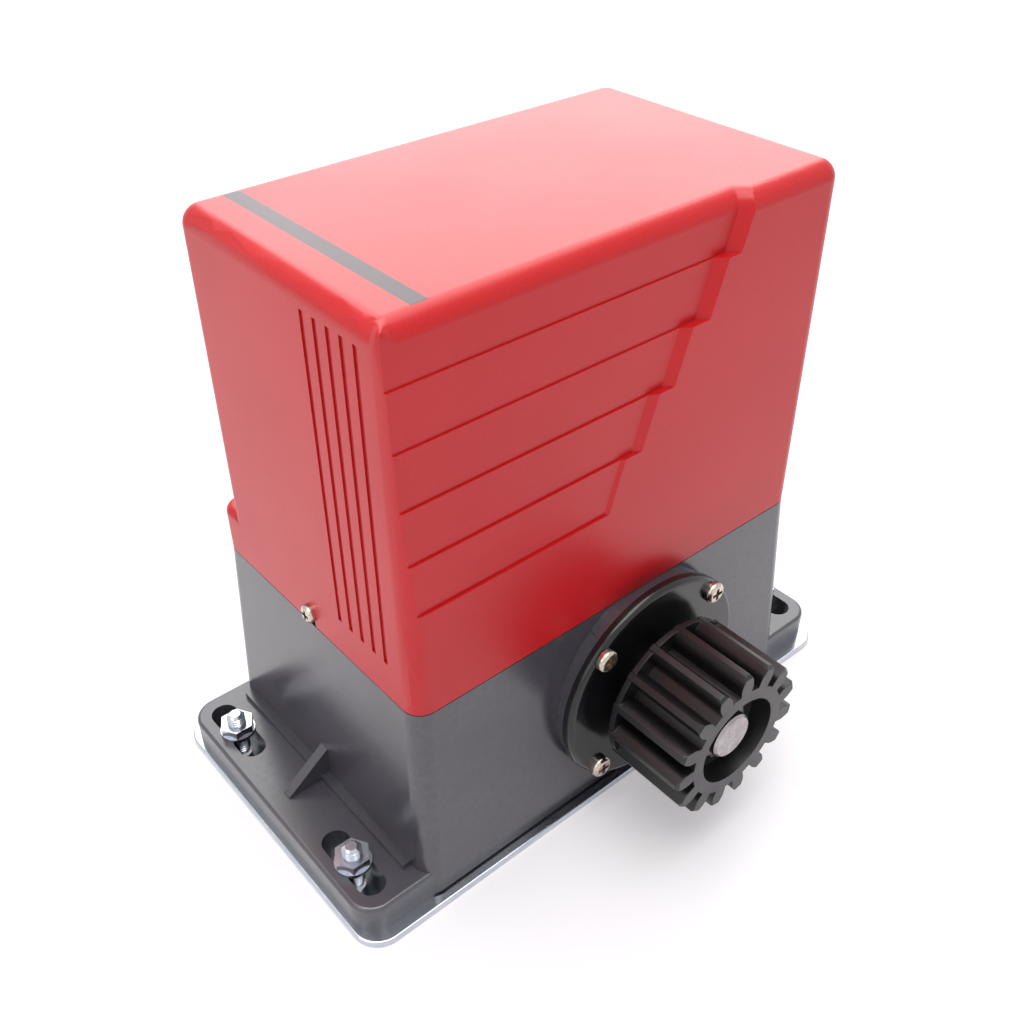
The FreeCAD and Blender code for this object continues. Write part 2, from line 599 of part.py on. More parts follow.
# ---- gearbox lid, worm, motor ----
def gearboxLid():
    x0, x1 = lidEnds()
    y0, y1 = lidFrontY, rearWallY + rearWallThick + 2
    lid = slab(x0, x1, y0, y1, 5.0, lidZ, lidZ + lidThick)
    boss = rod(bearingC[1] / 2 + 4, lidBossHigh, (motorX, wormY, lidZ - lidBossHigh), Z)
    lid = lid.fuse(boss)
    lid = lid.cut(rod(bearingC[1] / 2, bearingC[2], (motorX, wormY, lidZ - lidBossHigh), Z))
    lid = lid.cut(rod(bearingC[0] / 2 + 1.5, lidThick + 8, (motorX, wormY, lidZ - 7), Z))
    lid = lid.cut(rod(22.0, 2.0, (motorX, wormY, motorBase - 2), Z))
    for x, y in lidScrewPlaces():
        lid = lid.cut(rod(lidScrewR + clearance, lidThick + 2, (x, y, lidZ - 1), Z))
    for x, y in motorScrewPlaces():
        lid = lid.cut(rod(m5R, lidThick + 2, (x, y, lidZ - 1), Z))
    return lid.removeSplitter()


def lidEnds():
    return [x + s * (chamberWall + 1.0) for x, s in zip(chamberEnds(), (-1, 1))]


def motorScrewPlaces():
    return [(motorX + s * (motorR + 7), wormY + t * 18) for s in (-1, 1) for t in (-1, 1)]


def lidGasket():
    x0, x1 = lidEnds()
    y0, y1 = lidFrontY, rearWallY + rearWallThick
    z0 = lidZ - gasketThick
    ring = slab(x0, x1, y0, y1, 5.0, z0, lidZ)
    ring = ring.cut(slab(x0 + chamberWall, x1 - chamberWall, y0 + 3, y1 - chamberWall, 2.0, z0 - 1, lidZ + 1))
    for x, y in lidScrewPlaces():
        ring = ring.fuse(rod(lidPostR, gasketThick, (x, y, z0), Z))
        ring = ring.cut(rod(lidScrewR + clearance, 3, (x, y, z0 - 1), Z))
    return ring.removeSplitter()


def lidScrews():
    return Part.makeCompound([panHead(lidScrewR, lidThick + gasketThick + 10, (x, y, motorBase), -Z)
                              for x, y in lidScrewPlaces()])


def wormShaft():
    core = rod(wormPitchR - wormModule * 1.2, wormLong, (motorX, wormY, axisZ - wormLong / 2), Z)
    pitch = math.pi * wormModule
    turns = 5 * pitch              # an odd count puts a gap of the thread level with the shaft
    rootR, tipR = wormPitchR - wormModule * 1.3, wormPitchR + wormModule * 0.85
    z0 = axisZ - turns / 2
    wide, narrow = pitch * 0.5 + 1.1 - meshBacklash, pitch * 0.5 - 1.35 - meshBacklash
    helix = Part.makeHelix(pitch, turns, wormPitchR)
    foot, crest = wide / 2, narrow / 2
    tooth = Part.makePolygon([Vector(rootR, 0, -foot), Vector(tipR, 0, -crest), Vector(tipR, 0, crest),
                              Vector(rootR, 0, foot), Vector(rootR, 0, -foot)])
    thread = Part.Wire(helix).makePipeShell([tooth], True, True)
    thread.translate(Vector(motorX, wormY, z0))
    low = wormSeatZ
    shaft = rod(bearingC[0] / 2 - runFit, lidZ + 2 - low, (motorX, wormY, low), Z)
    upper = rod(bearingC[0] / 2 - 1, rotorTop - lidZ - 2, (motorX, wormY, lidZ + 2), Z)
    tip = rod(bearingD[0] / 2 - runFit, bellTop - 4 - rotorTop, (motorX, wormY, rotorTop), Z)
    return core.fuse([shaft, upper, tip]).fuse(thread).removeSplitter()


def motorHousing():
    can = tube(motorR, motorR - motorWall, motorLong, (motorX, wormY, motorBase), Z)
    floor = tube(motorR - 1, bearingC[0] / 2 + 3, 3, (motorX, wormY, motorBase), Z)
    foot = slab(motorX - motorR - 13, motorX + motorR + 13, wormY - 24, wormY + 24,
                6.0, motorBase, motorBase + 4)
    foot = foot.cut(rod(motorR - 1, 5, (motorX, wormY, motorBase), Z))
    can = can.fuse([floor, foot])
    for x, y in motorScrewPlaces():
        can = can.cut(rod(m5R + clearance, 6, (x, y, motorBase - 1), Z))
    return can.removeSplitter()


def motorScrews():
    return Part.makeCompound([panHead(m5R, 4 + lidThick - 1, (x, y, motorBase + 4), -Z)
                              for x, y in motorScrewPlaces()])


def motorMagnets():
    arcs = []
    outer = motorR - motorWall
    inner = outer - magnetThick
    ring = tube(outer, inner, 56, (motorX, wormY, motorBase + 8), Z)
    for s in (-1, 1):
        side = block(motorX - 26, motorX + 26, *sorted((wormY + s * 12, wormY + s * 60)),
                     motorBase, motorBase + motorLong)
        arcs.append(ring.common(side))
    return Part.makeCompound(arcs)


def rotorCore():
    # slotted lamination pack with its windings, on the worm shaft
    r = motorR - motorWall - magnetThick - airGap
    pack = rod(r, 50, (0, 0, 0), Z)
    for i in range(12):
        notch = block(r - 6, r + 1, -1.2, 1.2, -1, 51)
        notch.rotate(Vector(0, 0, 0), Z, i * 30)
        pack = pack.cut(notch)
    for z0, h in ((-4, 4), (50, 6)):
        pack = pack.fuse(tube(r - 5, 9, h, (0, 0, z0), Z))
    pack = pack.cut(rod(bearingC[0] / 2 - 1, 70, (0, 0, -8), Z))
    pack.translate(Vector(motorX, wormY, motorBase + 11))
    return pack.removeSplitter()


def commutator():
    ring = tube(12.0, bearingC[0] / 2 - 1, 14, (0, 0, 0), Z)
    for i in range(12):
        gap = block(10.8, 13, -0.3, 0.3, -1, 15)
        gap.rotate(Vector(0, 0, 0), Z, i * 30)
        ring = ring.cut(gap)
    ring.translate(Vector(motorX, wormY, motorBase + 69))
    return ring


def motorBrushes():
    return Part.makeCompound([brushSpace(s, 12.2) for s in (-1, 1)])


def brushSpace(s, inner):
    return block(*sorted((motorX + s * inner, motorX + s * 24)), wormY - 3.5, wormY + 3.5,
                 motorBase + 71, motorBase + 81)


def motorEndBell():
    z0 = motorBase + motorLong
    bell = rod(motorR, bellHigh, (motorX, wormY, z0), Z)
    bell = fillet(bell, 4.0, lambda e: e.BoundBox.ZMin > z0 + bellHigh - 0.01)
    bell = bell.cut(rod(motorR - 4, bellHigh - 4, (motorX, wormY, z0 - 1), Z))
    seat = bearingD[1] / 2
    bell = bell.fuse(rod(seat + 3, bellHigh - 3, (motorX, wormY, z0), Z))
    bell = bell.cut(rod(seat, bearingD[2], (motorX, wormY, z0 + 1), Z))
    bell = bell.cut(rod(seat - 2, 5, (motorX, wormY, z0 - 1), Z))
    bell = bell.cut(rod(bearingD[0] / 2 + 1.5, bellHigh - 4, (motorX, wormY, z0), Z))
    spigot = tube(motorR - motorWall, motorR - motorWall - 2.5, 5, (motorX, wormY, z0 - 4), Z)
    holders = [block(*sorted((motorX + s * 13.5, motorX + s * 29)), wormY - 6, wormY + 6,
                     motorBase + 69, z0 + 4) for s in (-1, 1)]
    bell = bell.fuse([spigot] + holders)
    for s in (-1, 1):
        bell = bell.cut(brushSpace(s, 12.0))
    return bell.removeSplitter()


def wormBearings():
    low = bearing(bearingC, (motorX, wormY, wormSeatZ), Z)
    high = bearing(bearingC, (motorX, wormY, lidZ - lidBossHigh), Z)
    return Part.makeCompound([low, high])


def rotorBearing():
    return bearing(bearingD, (motorX, wormY, motorBase + motorLong + 1), Z)


# ---- cover ----
def panelCut(i, grow=0.0):
    # recess i of the front face as a loft from the open face to its floor, leaning with the draft
    low = panelBottoms[i]
    top = coverHigh + 20 if i == 0 else panelBottoms[i - 1]
    depth = panelDepths[i] + grow
    far = -halfL - 20
    lean = panelLean * (top - low) / (panelBottoms[0] - panelBottoms[1])
    ends = (panelEnds[i] + grow, panelEnds[i] + lean + grow)
    low -= grow
    tan = math.tan(coverDraft)
    def wire(d, back):
        # d is the depth below the face at the seam; back moves the end wall inwards
        face = lambda z: -halfW + d + z * tan
        ring = [Vector(far, face(low), seamZ + low), Vector(ends[0] - back, face(low), seamZ + low),
                Vector(ends[1] - back, face(top), seamZ + top), Vector(far, face(top), seamZ + top)]
        return Part.makePolygon(ring + [ring[0]])
    over = 4.0
    slope = panelRamp / panelDepths[i] if panelDepths[i] > 1.5 else 1.5
    return Part.makeLoft([wire(-over, -over * slope), wire(depth, depth * slope)], True, True)


def coverShape(inset, top, cornerR, low):
    # drafted upper box and its deeper skirt
    rear = halfW - ledgeDeep
    upper = drafted(outline(low, coverDraft, inset, rear), outline(top, coverDraft, inset, rear),
                    cornerR, low, top)
    ledge = seamZ + ledgeHigh - inset
    skirt = drafted(outline(low, coverDraft, inset), outline(ledge, coverDraft, inset), cornerR, low, ledge)
    if inset == 0.0:
        skirt = fillet(skirt, ledgeR, lambda e: e.BoundBox.ZMin > ledge - 0.01)
    return upper.fuse(skirt).removeSplitter()


def cover():
    shell = coverShape(0.0, coverTop, bodyCornerR, coverZ)
    for i in range(len(panelBottoms)):
        shell = shell.cut(panelCut(i))
    shell = fillet(shell, coverTopR, lambda e: e.BoundBox.ZMin > coverTop - 0.01)
    inner = coverShape(coverWall, coverTop - coverWall, bodyCornerR - coverWall, coverZ - 1)
    inner = fillet(inner, coverTopR - coverWall, lambda e: e.BoundBox.ZMin > coverTop - coverWall - 0.01)
    for i in range(len(panelBottoms)):
        inner = inner.cut(panelCut(i, coverWall))
    shell = shell.cut(inner)
    for i in range(grooveCount):
        y = -halfW + grooveStart + i * groovePitch
        tan = math.tan(coverDraft)
        y0, y1 = y - grooveWide / 2, y + grooveWide / 2
        lean = (grooveHigh - grooveLow) * tan
        floorX = -halfL + grooveDeep
        groove = drafted((-halfL - 5, floorX, y0, y1), (-halfL - 5, floorX + lean, y0, y1),
                         grooveWide * 0.3, seamZ + grooveLow, seamZ + grooveHigh)
        groove.translate(Vector(grooveLow * tan, 0, 0))
        shell = shell.cut(groove)
    for s in (-1, 1):
        x0, x1 = sorted((s * (halfL - 8), s * (halfL + 3)))
        notch = rod(notchR, x1 - x0, (x0, 0, seamZ + coverScrewZ), X).fuse(
            block(x0, x1, -notchR, notchR, coverZ - 1, seamZ + coverScrewZ))
        shell = shell.cut(notch)
    return shell


def coverScrews():
    seat = halfL - math.tan(coverDraft) * coverScrewZ + 0.05
    return Part.makeCompound([panHead(coverScrewR, 9.5, (s * seat, 0, seamZ + coverScrewZ), -s * X)
                              for s in (-1, 1)])


def coverSeal():
    # soft strip on the base's rim, under the edge of the cover
    ring = slab(*outline(seamZ, coverDraft, sealInset), bodyCornerR - sealInset, seamZ, coverZ)
    inner = coverWall - 0.1
    return ring.cut(slab(*outline(seamZ, coverDraft, inner), bodyCornerR - inner, seamZ - 1, coverZ + 1))


# ---- electronics ----
def boardBracket():
    # folded sheet that carries the board, screwed to the gearbox lid
    x0 = boardX - 11
    y0, y1 = wormY - boardWide / 2 + 6, wormY + boardWide / 2 - 6
    upright = block(x0, x0 + 2, y0, y1, motorBase, boardZ + boardTall - 8)
    window = slab(-26, 26, -28, 28, 6, 0, 8)
    place = Vector(x0 - 3, wormY, boardZ + boardTall / 2 - 4)
    window.Placement = FreeCAD.Placement(place, FreeCAD.Rotation(Y, 90))
    foot = block(x0 - 14, x0 + 2, y0, y1, motorBase, motorBase + 2)
    return upright.cut(window).fuse(foot).removeSplitter()


def boardPosts():
    posts = []
    for y in (wormY - boardWide / 2 + 10, wormY + boardWide / 2 - 10):
        for z in (boardZ + 8, boardZ + boardTall - 14):
            posts.append(rod(3.0, 9.0, (boardX - 9, y, z), X))
    return Part.makeCompound(posts)


def controlBoard():
    return block(boardX, boardX + boardThick, wormY - boardWide / 2, wormY + boardWide / 2,
                 boardZ, boardZ + boardTall)


def boardRelays():
    x0 = boardX + boardThick
    return Part.makeCompound([block(x0, x0 + 16, wormY - 38 + i * 22, wormY - 19 + i * 22,
                                    boardZ + 34, boardZ + 50) for i in range(3)])


def smoothingCapacitor():
    can = rod(11.0, 28, (boardX + boardThick, wormY - 22, boardZ + 84), X)
    return can.makeFillet(1.2, [e for e in can.Edges if e.BoundBox.XMin > boardX + boardThick + 27])


def terminalBlocks():
    x0 = boardX + boardThick
    strip = block(x0, x0 + 14, wormY - 42, wormY + 42, boardZ + 3, boardZ + 17)
    strip = strip.makeChamfer(3.0, [e for e in strip.Edges
                                    if e.BoundBox.XMin > x0 + 13.9 and e.BoundBox.ZMin > boardZ + 16])
    for i in range(14):
        y = wormY - 39 + i * 6
        strip = strip.cut(rod(2.0, 5, (x0 + 7, y, boardZ + 13), Z))
        strip = strip.cut(block(x0 + 9, x0 + 15, y - 1.8, y + 1.8, boardZ + 5, boardZ + 10))
    return strip


def controlChip():
    x0 = boardX + boardThick
    return block(x0, x0 + 3, wormY + 4, wormY + 38, boardZ + 66, boardZ + 76)


def transformerCore():
    x0, y0, z0 = transformerPlace()
    core = block(x0, x0 + 28, y0, y0 + 54, z0, z0 + 46)
    for t in (0, 1):
        core = core.cut(block(x0 - 1, x0 + 29, y0 + 9 + t * 25, y0 + 20 + t * 25, z0 + 9, z0 + 37))
    return core


def transformerPlace():
    return (halfL - baseWall - 33.0, -27.0, earTop)


def transformerCoil():
    x0, y0, z0 = transformerPlace()
    coil = slab(x0 - 5, x0 + 33, y0 + 9.5, y0 + 44.5, 5, z0 + 9.5, z0 + 36.5)
    return coil.cut(block(x0, x0 + 28, y0 + 20, y0 + 34, z0, z0 + 50))


def limitSensor():
    # magnetic switch reader behind the front wall, over the pinion
    y0 = -halfW + coverWall + 6.5
    z0 = motorBase
    body = block(axisX - 6, axisX + 16, y0 + 2, y0 + 10, z0, z0 + 34)
    return body.makeFillet(1.5, [e for e in body.Edges if e.BoundBox.ZMin > z0 + 33.9])


def cableGrommet():
    r = grommetR
    ring = rod(r, baseFloorThick, (grommetX, grommetY, baseFloorZ), Z)
    ring = ring.fuse(rod(r + 2.5, 2.0, (grommetX, grommetY, floorTop), Z))
    return ring.cut(rod(r - 3.0, 12, (grommetX, grommetY, baseFloorZ - 1), Z)).removeSplitter()


parts = [
    ("mounting_plate", mountingPlate), ("anchor_studs", anchorStuds), ("stud_washers", studWashers),
    ("stud_nuts", studNuts), ("base_housing", baseHousing), ("output_flange", outputFlange),
    ("flange_screws", flangeScrews), ("shaft_seal", shaftSeal), ("front_bearing", frontBearing),
    ("rear_bearing", rearBearing), ("output_shaft", outputShaft), ("drive_pinion", drivePinion),
    ("pinion_key", pinionKey), ("retaining_ring", retainingRing), ("worm_wheel", wormWheel),
    ("clutch_ring", clutchRing), ("shift_fork", shiftFork), ("release_lever", releaseLever),
    ("lever_pin", leverPin), ("lock_plug", lockPlug), ("gearbox_lid", gearboxLid),
    ("lid_gasket", lidGasket), ("lid_screws", lidScrews), ("worm_shaft", wormShaft),
    ("rotor_core", rotorCore), ("commutator", commutator), ("worm_bearings", wormBearings),
    ("rotor_bearing", rotorBearing), ("motor_housing", motorHousing), ("motor_magnets", motorMagnets),
    ("motor_end_bell", motorEndBell), ("motor_brushes", motorBrushes), ("motor_screws", motorScrews),
    ("cover", cover), ("cover_screws", coverScrews), ("cover_seal", coverSeal),
    ("board_bracket", boardBracket), ("board_posts", boardPosts), ("control_board", controlBoard),
    ("board_relays", boardRelays), ("smoothing_capacitor", smoothingCapacitor),
    ("terminal_blocks", terminalBlocks), ("control_chip", controlChip),
    ("transformer_core", transformerCore), ("transformer_coil", transformerCoil),
    ("limit_sensor", limitSensor), ("cable_grommet", cableGrommet),
]

os.makedirs("parts", exist_ok=True)
for name, make in parts:
    shape = make()
    shape.exportStep("parts/" + name + ".step")
    print(name, len(shape.Solids), round(shape.Volume), shape.isValid())
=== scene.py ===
import bpy
import math
from mathutils import Euler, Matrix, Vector


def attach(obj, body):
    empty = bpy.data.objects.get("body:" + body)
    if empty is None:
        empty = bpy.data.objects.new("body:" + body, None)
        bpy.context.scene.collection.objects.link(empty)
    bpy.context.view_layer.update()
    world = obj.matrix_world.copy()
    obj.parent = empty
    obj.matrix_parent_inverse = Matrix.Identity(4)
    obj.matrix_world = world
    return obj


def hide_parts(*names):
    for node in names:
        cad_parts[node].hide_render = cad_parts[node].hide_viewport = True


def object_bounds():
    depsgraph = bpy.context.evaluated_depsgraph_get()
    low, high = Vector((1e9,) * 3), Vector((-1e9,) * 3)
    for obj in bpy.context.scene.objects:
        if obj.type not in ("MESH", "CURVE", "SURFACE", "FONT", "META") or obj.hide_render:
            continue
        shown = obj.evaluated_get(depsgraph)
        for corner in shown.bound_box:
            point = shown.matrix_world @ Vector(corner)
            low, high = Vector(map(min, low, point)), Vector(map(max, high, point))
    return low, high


# Sliding gate motor: rounded mouldings, stud threads, small board parts, finishes and studio round the model

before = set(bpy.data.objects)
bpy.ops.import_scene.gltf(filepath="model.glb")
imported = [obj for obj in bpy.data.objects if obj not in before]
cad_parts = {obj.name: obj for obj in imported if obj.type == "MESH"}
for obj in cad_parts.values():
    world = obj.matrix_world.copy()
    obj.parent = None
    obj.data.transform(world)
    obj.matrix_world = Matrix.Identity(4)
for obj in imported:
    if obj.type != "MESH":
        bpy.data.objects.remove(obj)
cadBox = [list(corner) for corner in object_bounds()]
bpy.ops.object.select_all(action="DESELECT")
mm = 0.001
print("frame loaded,", len(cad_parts), "nodes")


# colour and node helpers
def sRgb(hexValue):
    # sRGB hex to the linear values that a shader takes
    values = [int(hexValue[i:i + 2], 16) / 255 for i in (1, 3, 5)]
    return [v / 12.92 if v <= 0.04045 else ((v + 0.055) / 1.055) ** 2.4 for v in values] + [1.0]


def addNode(tree, kind, inputs=None, **settings):
    # a node with its settings; an input is either a value or the socket that feeds it
    node = tree.nodes.new(kind)
    for key, value in settings.items():
        setattr(node, key, value)
    for key, value in (inputs or {}).items():
        if isinstance(value, bpy.types.NodeSocket):
            tree.links.new(value, node.inputs[key])
        else:
            node.inputs[key].default_value = value
    return node


def finishMaterial(name, dark, light, grainMm=1.0, stretch=(1, 1, 1), rough=(0.4, 0.5), bumpMm=0.01,
                   patchMm=40.0, metallic=0.0, ior=1.5, coat=0.0, specular=0.5):
    # two close colours in broad patches, a grain in the bump, and a roughness that drifts with both
    # a grain finer than about 0.8 mm would not show, so the finer ones are drawn as coarse as that
    material = bpy.data.materials.new(name)
    material.use_nodes = True
    tree = material.node_tree
    shader = tree.nodes["Principled BSDF"]
    shader.inputs["Metallic"].default_value = metallic
    shader.inputs["Coat Weight"].default_value = coat
    if metallic < 0.5:
        shader.inputs["IOR"].default_value = ior
        shader.inputs["Specular IOR Level"].default_value = specular
    place = addNode(tree, "ShaderNodeTexCoord").outputs["Object"]
    stretched = addNode(tree, "ShaderNodeMapping", {"Vector": place, "Scale": stretch}).outputs["Vector"]
    patch = addNode(tree, "ShaderNodeTexNoise",
                    {"Vector": place, "Scale": 1000 / patchMm, "Detail": 3.0}).outputs["Fac"]
    grain = addNode(tree, "ShaderNodeTexNoise",
                    {"Vector": stretched, "Scale": 1000 / grainMm, "Detail": 2.0}).outputs["Fac"]
    blend = addNode(tree, "ShaderNodeMath", {0: patch, 1: grain}, operation="MULTIPLY").outputs[0]
    spread = addNode(tree, "ShaderNodeMapRange",
                     {"Value": blend, "From Min": 0.12, "From Max": 0.4}).outputs["Result"]
    colour = addNode(tree, "ShaderNodeMix", {"Factor": spread, 6: sRgb(dark), 7: sRgb(light)},
                     data_type="RGBA")
    tree.links.new(colour.outputs[2], shader.inputs["Base Color"])
    sheen = addNode(tree, "ShaderNodeMapRange", {"Value": spread, "To Min": rough[1], "To Max": rough[0]})
    tree.links.new(sheen.outputs["Result"], shader.inputs["Roughness"])
    bump = addNode(tree, "ShaderNodeBump", {"Height": grain, "Distance": bumpMm * mm, "Strength": 1.0})
    tree.links.new(bump.outputs["Normal"], shader.inputs["Normal"])
    return material


def dress(material, *nodes):
    for node in nodes:
        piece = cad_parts[node]
        piece.data.materials.clear()
        piece.data.materials.append(material)


# finishes
# ABS, injection moulded in a finely spark-eroded tool: even red with a soft satin sheen
coverRed = finishMaterial("red moulded ABS", "#B5141A", "#BE181E", grainMm=0.9, rough=(0.30, 0.36),
                          bumpMm=0.005, patchMm=60, ior=1.53, specular=0.35)
# aluminium casting under dark grey gloss paint: slight orange peel, mirrors what stands beside it
housingGrey = finishMaterial("dark grey gloss paint", "#3D3B42", "#44424A", grainMm=2.6, rough=(0.20, 0.27),
                             bumpMm=0.0025, patchMm=30, ior=1.55, specular=0.75)
# machined casting under black gloss paint: near black with clear highlights on its rim
flangeBlack = finishMaterial("black gloss paint", "#0D0D0F", "#131316", grainMm=1.2, rough=(0.16, 0.24),
                             bumpMm=0.006, patchMm=20, ior=1.5)
# glass-filled nylon gear, moulded: near black with a grey sheen on the teeth
pinionBlack = finishMaterial("black glass-filled nylon", "#0D0C0E", "#151417", grainMm=0.9,
                             rough=(0.28, 0.40), bumpMm=0.012, patchMm=12, ior=1.53)
# steel with bright zinc plating: cool silver with faint spangle
zincPlated = finishMaterial("bright zinc plating", "#BCC1CB", "#CCD0D8", grainMm=2.2, rough=(0.16, 0.24),
                            bumpMm=0.003, patchMm=18, metallic=1.0)
# steel screws with nickel plating: warm silver
nickelPlated = finishMaterial("nickel plating", "#B5A99C", "#D2C7BA", grainMm=0.8, rough=(0.18, 0.28),
                              bumpMm=0.004, patchMm=4, metallic=1.0)
# ground steel, turned first: silver grey with fine rings round the output shaft
turnedSteel = finishMaterial("turned steel", "#928C8C", "#B4AEAE", grainMm=0.8, stretch=(1, 6, 1),
                             rough=(0.25, 0.38), bumpMm=0.004, patchMm=6, metallic=1.0)
# drawn steel can of the motor, zinc plated: dull silver with drawing marks along its length
drawnSteel = finishMaterial("drawn steel", "#8C9096", "#A9ADB3", grainMm=1.0, stretch=(4, 4, 0.3),
                            rough=(0.30, 0.42), bumpMm=0.005, patchMm=25, metallic=1.0)
# aluminium as it leaves the die: dull silver with a slight grain
castAluminium = finishMaterial("die-cast aluminium", "#A2A4A7", "#BEC0C2", grainMm=1.4, rough=(0.42, 0.55),
                               bumpMm=0.03, patchMm=14, metallic=1.0)
# bronze, cast and then hobbed: warm brown gold
castBronze = finishMaterial("cast bronze", "#9A6B2E", "#B98540", grainMm=1.0, rough=(0.28, 0.4),
                            bumpMm=0.01, patchMm=12, metallic=1.0)
# moulded nitrile rubber: dull black that takes hardly any highlight
nitrile = finishMaterial("black nitrile rubber", "#0E0E0F", "#171718", grainMm=1.0, rough=(0.6, 0.75),
                         bumpMm=0.015, patchMm=10)
# moulded nylon: black with a soft grey sheen
blackNylon = finishMaterial("black nylon", "#121214", "#1A1A1C", grainMm=0.9, rough=(0.42, 0.52),
                            bumpMm=0.01, patchMm=20, ior=1.53)
# polished brass under chrome: mirror bright
chromed = finishMaterial("chrome plating", "#BFC1C4", "#D8DADC", grainMm=2.0, rough=(0.08, 0.14),
                         bumpMm=0.002, patchMm=8, metallic=1.0)
# pressed and fired ferrite: charcoal, stone-like
ferrite = finishMaterial("sintered ferrite", "#1C1C1E", "#29292B", grainMm=1.0, rough=(0.55, 0.7),
                         bumpMm=0.02, patchMm=10)
# punched steel sheets in a stack: dark steel with lines across the stack
lamination = finishMaterial("silicon steel laminations", "#55565A", "#7A7B80", grainMm=0.9,
                            stretch=(0.2, 0.2, 3), rough=(0.35, 0.5), bumpMm=0.02, patchMm=12, metallic=1.0)
# enamelled copper wire and bare copper bars: reddish metal with the lie of the winding
copper = finishMaterial("copper", "#A8522C", "#C76B3E", grainMm=0.9, stretch=(0.3, 0.3, 2),
                        rough=(0.28, 0.42), bumpMm=0.02, patchMm=8, metallic=1.0)
# lacquer over glass fibre board: deep green under a thin gloss
solderMask = finishMaterial("green solder mask", "#0C4A26", "#13602F", grainMm=2.0, rough=(0.25, 0.35),
                            bumpMm=0.02, patchMm=8, coat=0.3)
# moulded polyester cases: clean mid blue, satin
relayBlue = finishMaterial("blue polyester", "#1D4A86", "#2556A0", grainMm=0.9, rough=(0.35, 0.45),
                           bumpMm=0.006, patchMm=10)
# film shrunk over a can: blue black and fairly glossy
sleeveBlue = finishMaterial("black shrink sleeve", "#10182A", "#182238", grainMm=1.0, rough=(0.22, 0.32),
                            bumpMm=0.006, patchMm=10)
# moulded polyamide: plain green, half matt
terminalGreen = finishMaterial("green polyamide", "#1E7A3C", "#279048", grainMm=0.9, rough=(0.4, 0.5),
                               bumpMm=0.008, patchMm=10)

# screen-printed bar across the top of the cover: middle and half size of the inked box
coverPrint = {
    "ink": "#43353A",
    "middle": (-81.5 * mm, 0.0, 249 * mm),
    "half": (3.2 * mm, 56 * mm, 0.4 * mm),
}


def printBand(material, look):
    # mixes the ink over the moulding's own colour inside the box
    tree = material.node_tree
    shader = tree.nodes["Principled BSDF"]
    under = shader.inputs["Base Color"].links[0].from_socket
    place = addNode(tree, "ShaderNodeTexCoord").outputs["Object"]
    axes = addNode(tree, "ShaderNodeSeparateXYZ", {0: place}).outputs
    inside = None
    for axis, middle, half in zip(axes, look["middle"], look["half"]):
        within = addNode(tree, "ShaderNodeMath", {0: axis, 1: middle, 2: half}, operation="COMPARE")
        if inside is not None:
            within = addNode(tree, "ShaderNodeMath", {0: inside, 1: within.outputs[0]}, operation="MULTIPLY")
        inside = within.outputs[0]
    inked = addNode(tree, "ShaderNodeMix", {"Factor": inside, 6: under, 7: sRgb(look["ink"])},
                    data_type="RGBA")
    tree.links.new(inked.outputs[2], shader.inputs["Base Color"])


printBand(coverRed, coverPrint)

dress(coverRed, "cover")
dress(housingGrey, "base_housing")
dress(flangeBlack, "output_flange", "gearbox_lid")
dress(pinionBlack, "drive_pinion")
dress(zincPlated, "mounting_plate", "anchor_studs", "stud_washers", "stud_nuts", "board_bracket")
dress(nickelPlated, "flange_screws", "cover_screws", "lid_screws", "motor_screws")
dress(turnedSteel, "output_shaft", "pinion_key", "retaining_ring", "clutch_ring", "shift_fork", "lever_pin",
      "worm_shaft", "front_bearing", "rear_bearing", "worm_bearings", "rotor_bearing")
dress(drawnSteel, "motor_housing")
dress(castAluminium, "motor_end_bell")
dress(castBronze, "worm_wheel")
dress(nitrile, "shaft_seal", "lid_gasket", "cover_seal", "cable_grommet")
dress(blackNylon, "release_lever", "board_posts", "limit_sensor", "control_chip")
dress(chromed, "lock_plug")
dress(ferrite, "motor_magnets", "motor_brushes")
dress(lamination, "rotor_core", "transformer_core")
dress(copper, "commutator", "transformer_coil")
dress(solderMask, "control_board")
dress(relayBlue, "board_relays")
dress(sleeveBlue, "smoothing_capacitor")
dress(terminalGreen, "terminal_blocks")
print("finishes on", len(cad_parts), "nodes")


# tools for shaping
def activate(piece):
    bpy.ops.object.select_all(action="DESELECT")
    bpy.context.view_layer.objects.active = piece
    piece.select_set(True)


def addModifier(piece, kind, **settings):
    # adds a modifier and applies it at once
    activate(piece)
    modifier = piece.modifiers.new(kind.lower(), kind)
    for key, value in settings.items():
        setattr(modifier, key, value)
    bpy.ops.object.modifier_apply(modifier=modifier.name)


def settle(piece):
    # puts the object at the origin with its place in its mesh
    activate(piece)
    bpy.ops.object.transform_apply(location=True, rotation=True, scale=True)


def mergedCopy(node):
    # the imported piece's loose triangles as one clean mesh in an object of its own
    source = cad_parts[node]
    piece = source.copy()
    piece.data = source.data.copy()
    piece.name = node + "_rounded"
    source.users_collection[0].objects.link(piece)
    activate(piece)
    bpy.ops.mesh.customdata_custom_splitnormals_clear()
    bpy.ops.object.mode_set(mode="EDIT")
    bpy.ops.mesh.select_all(action="SELECT")
    bpy.ops.mesh.remove_doubles(threshold=0.002 * mm)
    bpy.ops.mesh.dissolve_limited(angle_limit=math.radians(0.5))
    bpy.ops.object.mode_set(mode="OBJECT")
    return piece


# rounded mouldings and castings
# edge radius in mm and the smallest angle between faces that counts as an edge
edges = {
    "cover": {"radius": 0.7, "steps": 3, "angle": 25, "body": "cover_shell", "slot": "cover_red"},
    "base_housing": {"radius": 0.6, "steps": 2, "angle": 30, "body": "base", "slot": "base_grey"},
    "drive_pinion": {"radius": 0.45, "steps": 2, "angle": 40, "body": "output", "slot": "pinion_black"},
}


